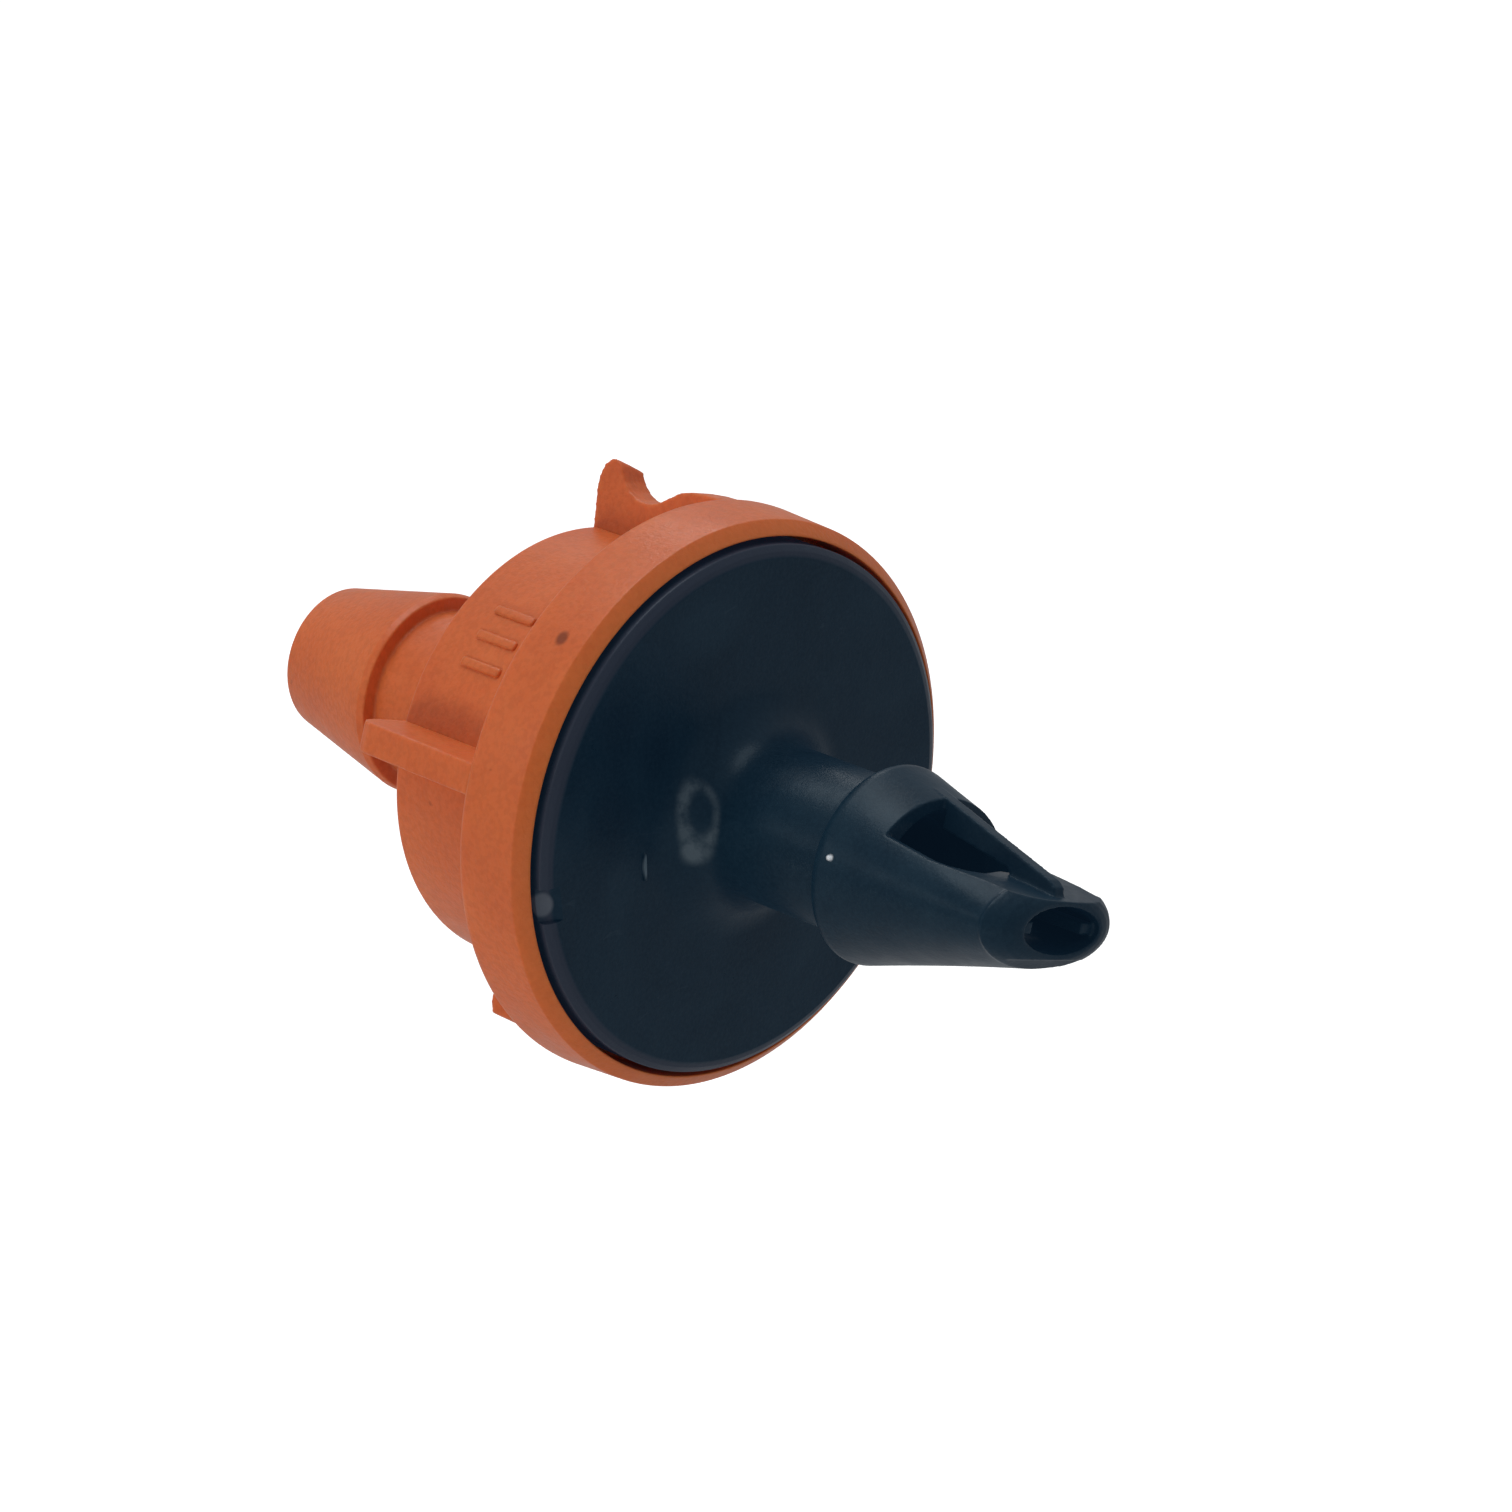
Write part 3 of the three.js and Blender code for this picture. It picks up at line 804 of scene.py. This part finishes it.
def labyrinth_block():
    """The labyrinth insert, taken from its CAD solid, with its edges slightly rounded as moulded."""
    bm = bmesh.new()
    bm.from_mesh(frame["nodes"]["labyrinth_insert"].data)
    bmesh.ops.remove_doubles(bm, verts=bm.verts[:], dist=2e-7)
    bmesh.ops.scale(bm, verts=bm.verts[:], vec=(1 / MM,) * 3)
    obj = make("labyrinth_block", bm)
    soften(obj, 0.065, 3)
    return obj


dress(seat_disc(), BLACK, "base", "black_plastic", "inlet_base")
dress(barb_head(), BLACK, "base", "black_plastic")
dress(disc_tick(), BLACK, "base", "black_plastic")
dress(crest_nib(), BLACK, "base", "black_plastic")
dress(cover_shell(), ORANGE, "cover", "orange_plastic", "outlet_cover")
for number in range(4):
    dress(wing(number), ORANGE, "cover", "orange_plastic")
for number in range(3):
    dress(size_mark(number), ORANGE, "cover", "orange_plastic")
dress(diaphragm_disc(), SILICONE, "diaphragm", "silicone", "silicone_diaphragm")
dress(labyrinth_block(), CHARCOAL, "cover", "charcoal_plastic", "labyrinth_insert")


# --- stage, lights and camera ----------------------------------------------------------------------

WALL_DIM, WALL_BRIGHT = 0.12, 0.46  # radiance of the studio's walls
BRIGHTEST_WALL = (-0.32, 0.38, 0.87)  # direction of it
FLOOR_DROP = 38  # below the axis: the emitter hangs in its pipe's wall, not on a floor
CAMERA_PLACE = (142.93, -138.82, 78.92)
CAMERA_AZIMUTH, CAMERA_ELEVATION = 45.76, 21.21
SENSOR, LENS = 36, 190.476
LIGHTS = (  # name, place, size and radiance
    ("overhead", (-60, 10, 260), 200, 2.95),
    ("low_front", (50, -62, -33), 13, 1.6),
    ("left_strip", (-104, -189, 80), 44, 3.4),
    ("far_top", (-135, 125, 160), 60, 4.2),
)
FILLS = (  # warm lights that leave no highlight
    ("fill_left", (-30, -150, -30), 60, 10.0),
    ("fill_front", (120, -100, -32), 60, 2.6),
)
WARM = (1.0, 0.9, 0.8)


def floor():
    """Wide floor below the object, which belongs to the stage."""
    bm = bmesh.new()
    bmesh.ops.create_grid(bm, x_segments=8, y_segments=8, size=1500)
    bmesh.ops.translate(bm, verts=bm.verts[:], vec=(0, 0, -FLOOR_DROP))
    obj = make("floor", bm)
    obj.data.materials.append(pale_floor())


def area_light(name, place, size, radiance, colour=(1, 1, 1)):
    """Round soft light at a place in mm, facing the object, with its brightness as seen from there."""
    light = bpy.data.lights.new(name, "AREA")
    light.shape = "DISK"
    light.size = size * MM
    light.energy = radiance * math.pi * math.pi * (size * MM / 2) ** 2
    light.color = colour
    obj = bpy.data.objects.new(name, light)
    obj.location = Vector(place) * MM
    obj.rotation_mode = "QUATERNION"
    obj.rotation_quaternion = obj.location.to_track_quat("Z", "Y")
    obj.visible_camera = False
    bpy.context.scene.collection.objects.link(obj)
    return obj


def world():
    """Dim studio walls: darker in front of the emitter than behind and above it."""
    bpy.context.scene.world = bpy.data.worlds.new("studio")
    scene_world = bpy.context.scene.world
    scene_world.use_nodes = True
    tree = scene_world.node_tree
    background = tree.nodes["Background"]
    coordinate = tree.nodes.new("ShaderNodeTexCoord")
    direction = tree.nodes.new("ShaderNodeVectorMath")
    direction.operation = "DOT_PRODUCT"
    direction.inputs[1].default_value = BRIGHTEST_WALL
    tree.links.new(coordinate.outputs["Generated"], direction.inputs[0])
    ramp = tree.nodes.new("ShaderNodeMapRange")
    ramp.inputs["From Min"].default_value = -1
    ramp.inputs["From Max"].default_value = 1
    ramp.inputs["To Min"].default_value = WALL_DIM
    ramp.inputs["To Max"].default_value = WALL_BRIGHT
    tree.links.new(direction.outputs["Value"], ramp.inputs["Value"])
    tree.links.new(ramp.outputs[0], background.inputs["Strength"])
    background.inputs["Color"].default_value = (0.95, 0.975, 1.0, 1)


def camera():
    """Long lens in front of the emitter's nose, to its right and a little above it."""
    data = bpy.data.cameras.new("camera")
    data.sensor_width = SENSOR
    data.lens = LENS
    data.clip_start = 0.001
    data.clip_end = 20
    obj = bpy.data.objects.new("camera", data)
    obj.location = Vector(CAMERA_PLACE) * MM
    obj.rotation_euler = Euler((math.radians(90 - CAMERA_ELEVATION), 0, math.radians(CAMERA_AZIMUTH)))
    bpy.context.scene.collection.objects.link(obj)
    bpy.context.scene.camera = obj


floor()
world()
for light in LIGHTS:
    area_light(*light)
for light in FILLS:
    area_light(*light, WARM).visible_glossy = False
camera()
bpy.context.scene.view_settings.view_transform = "Standard"
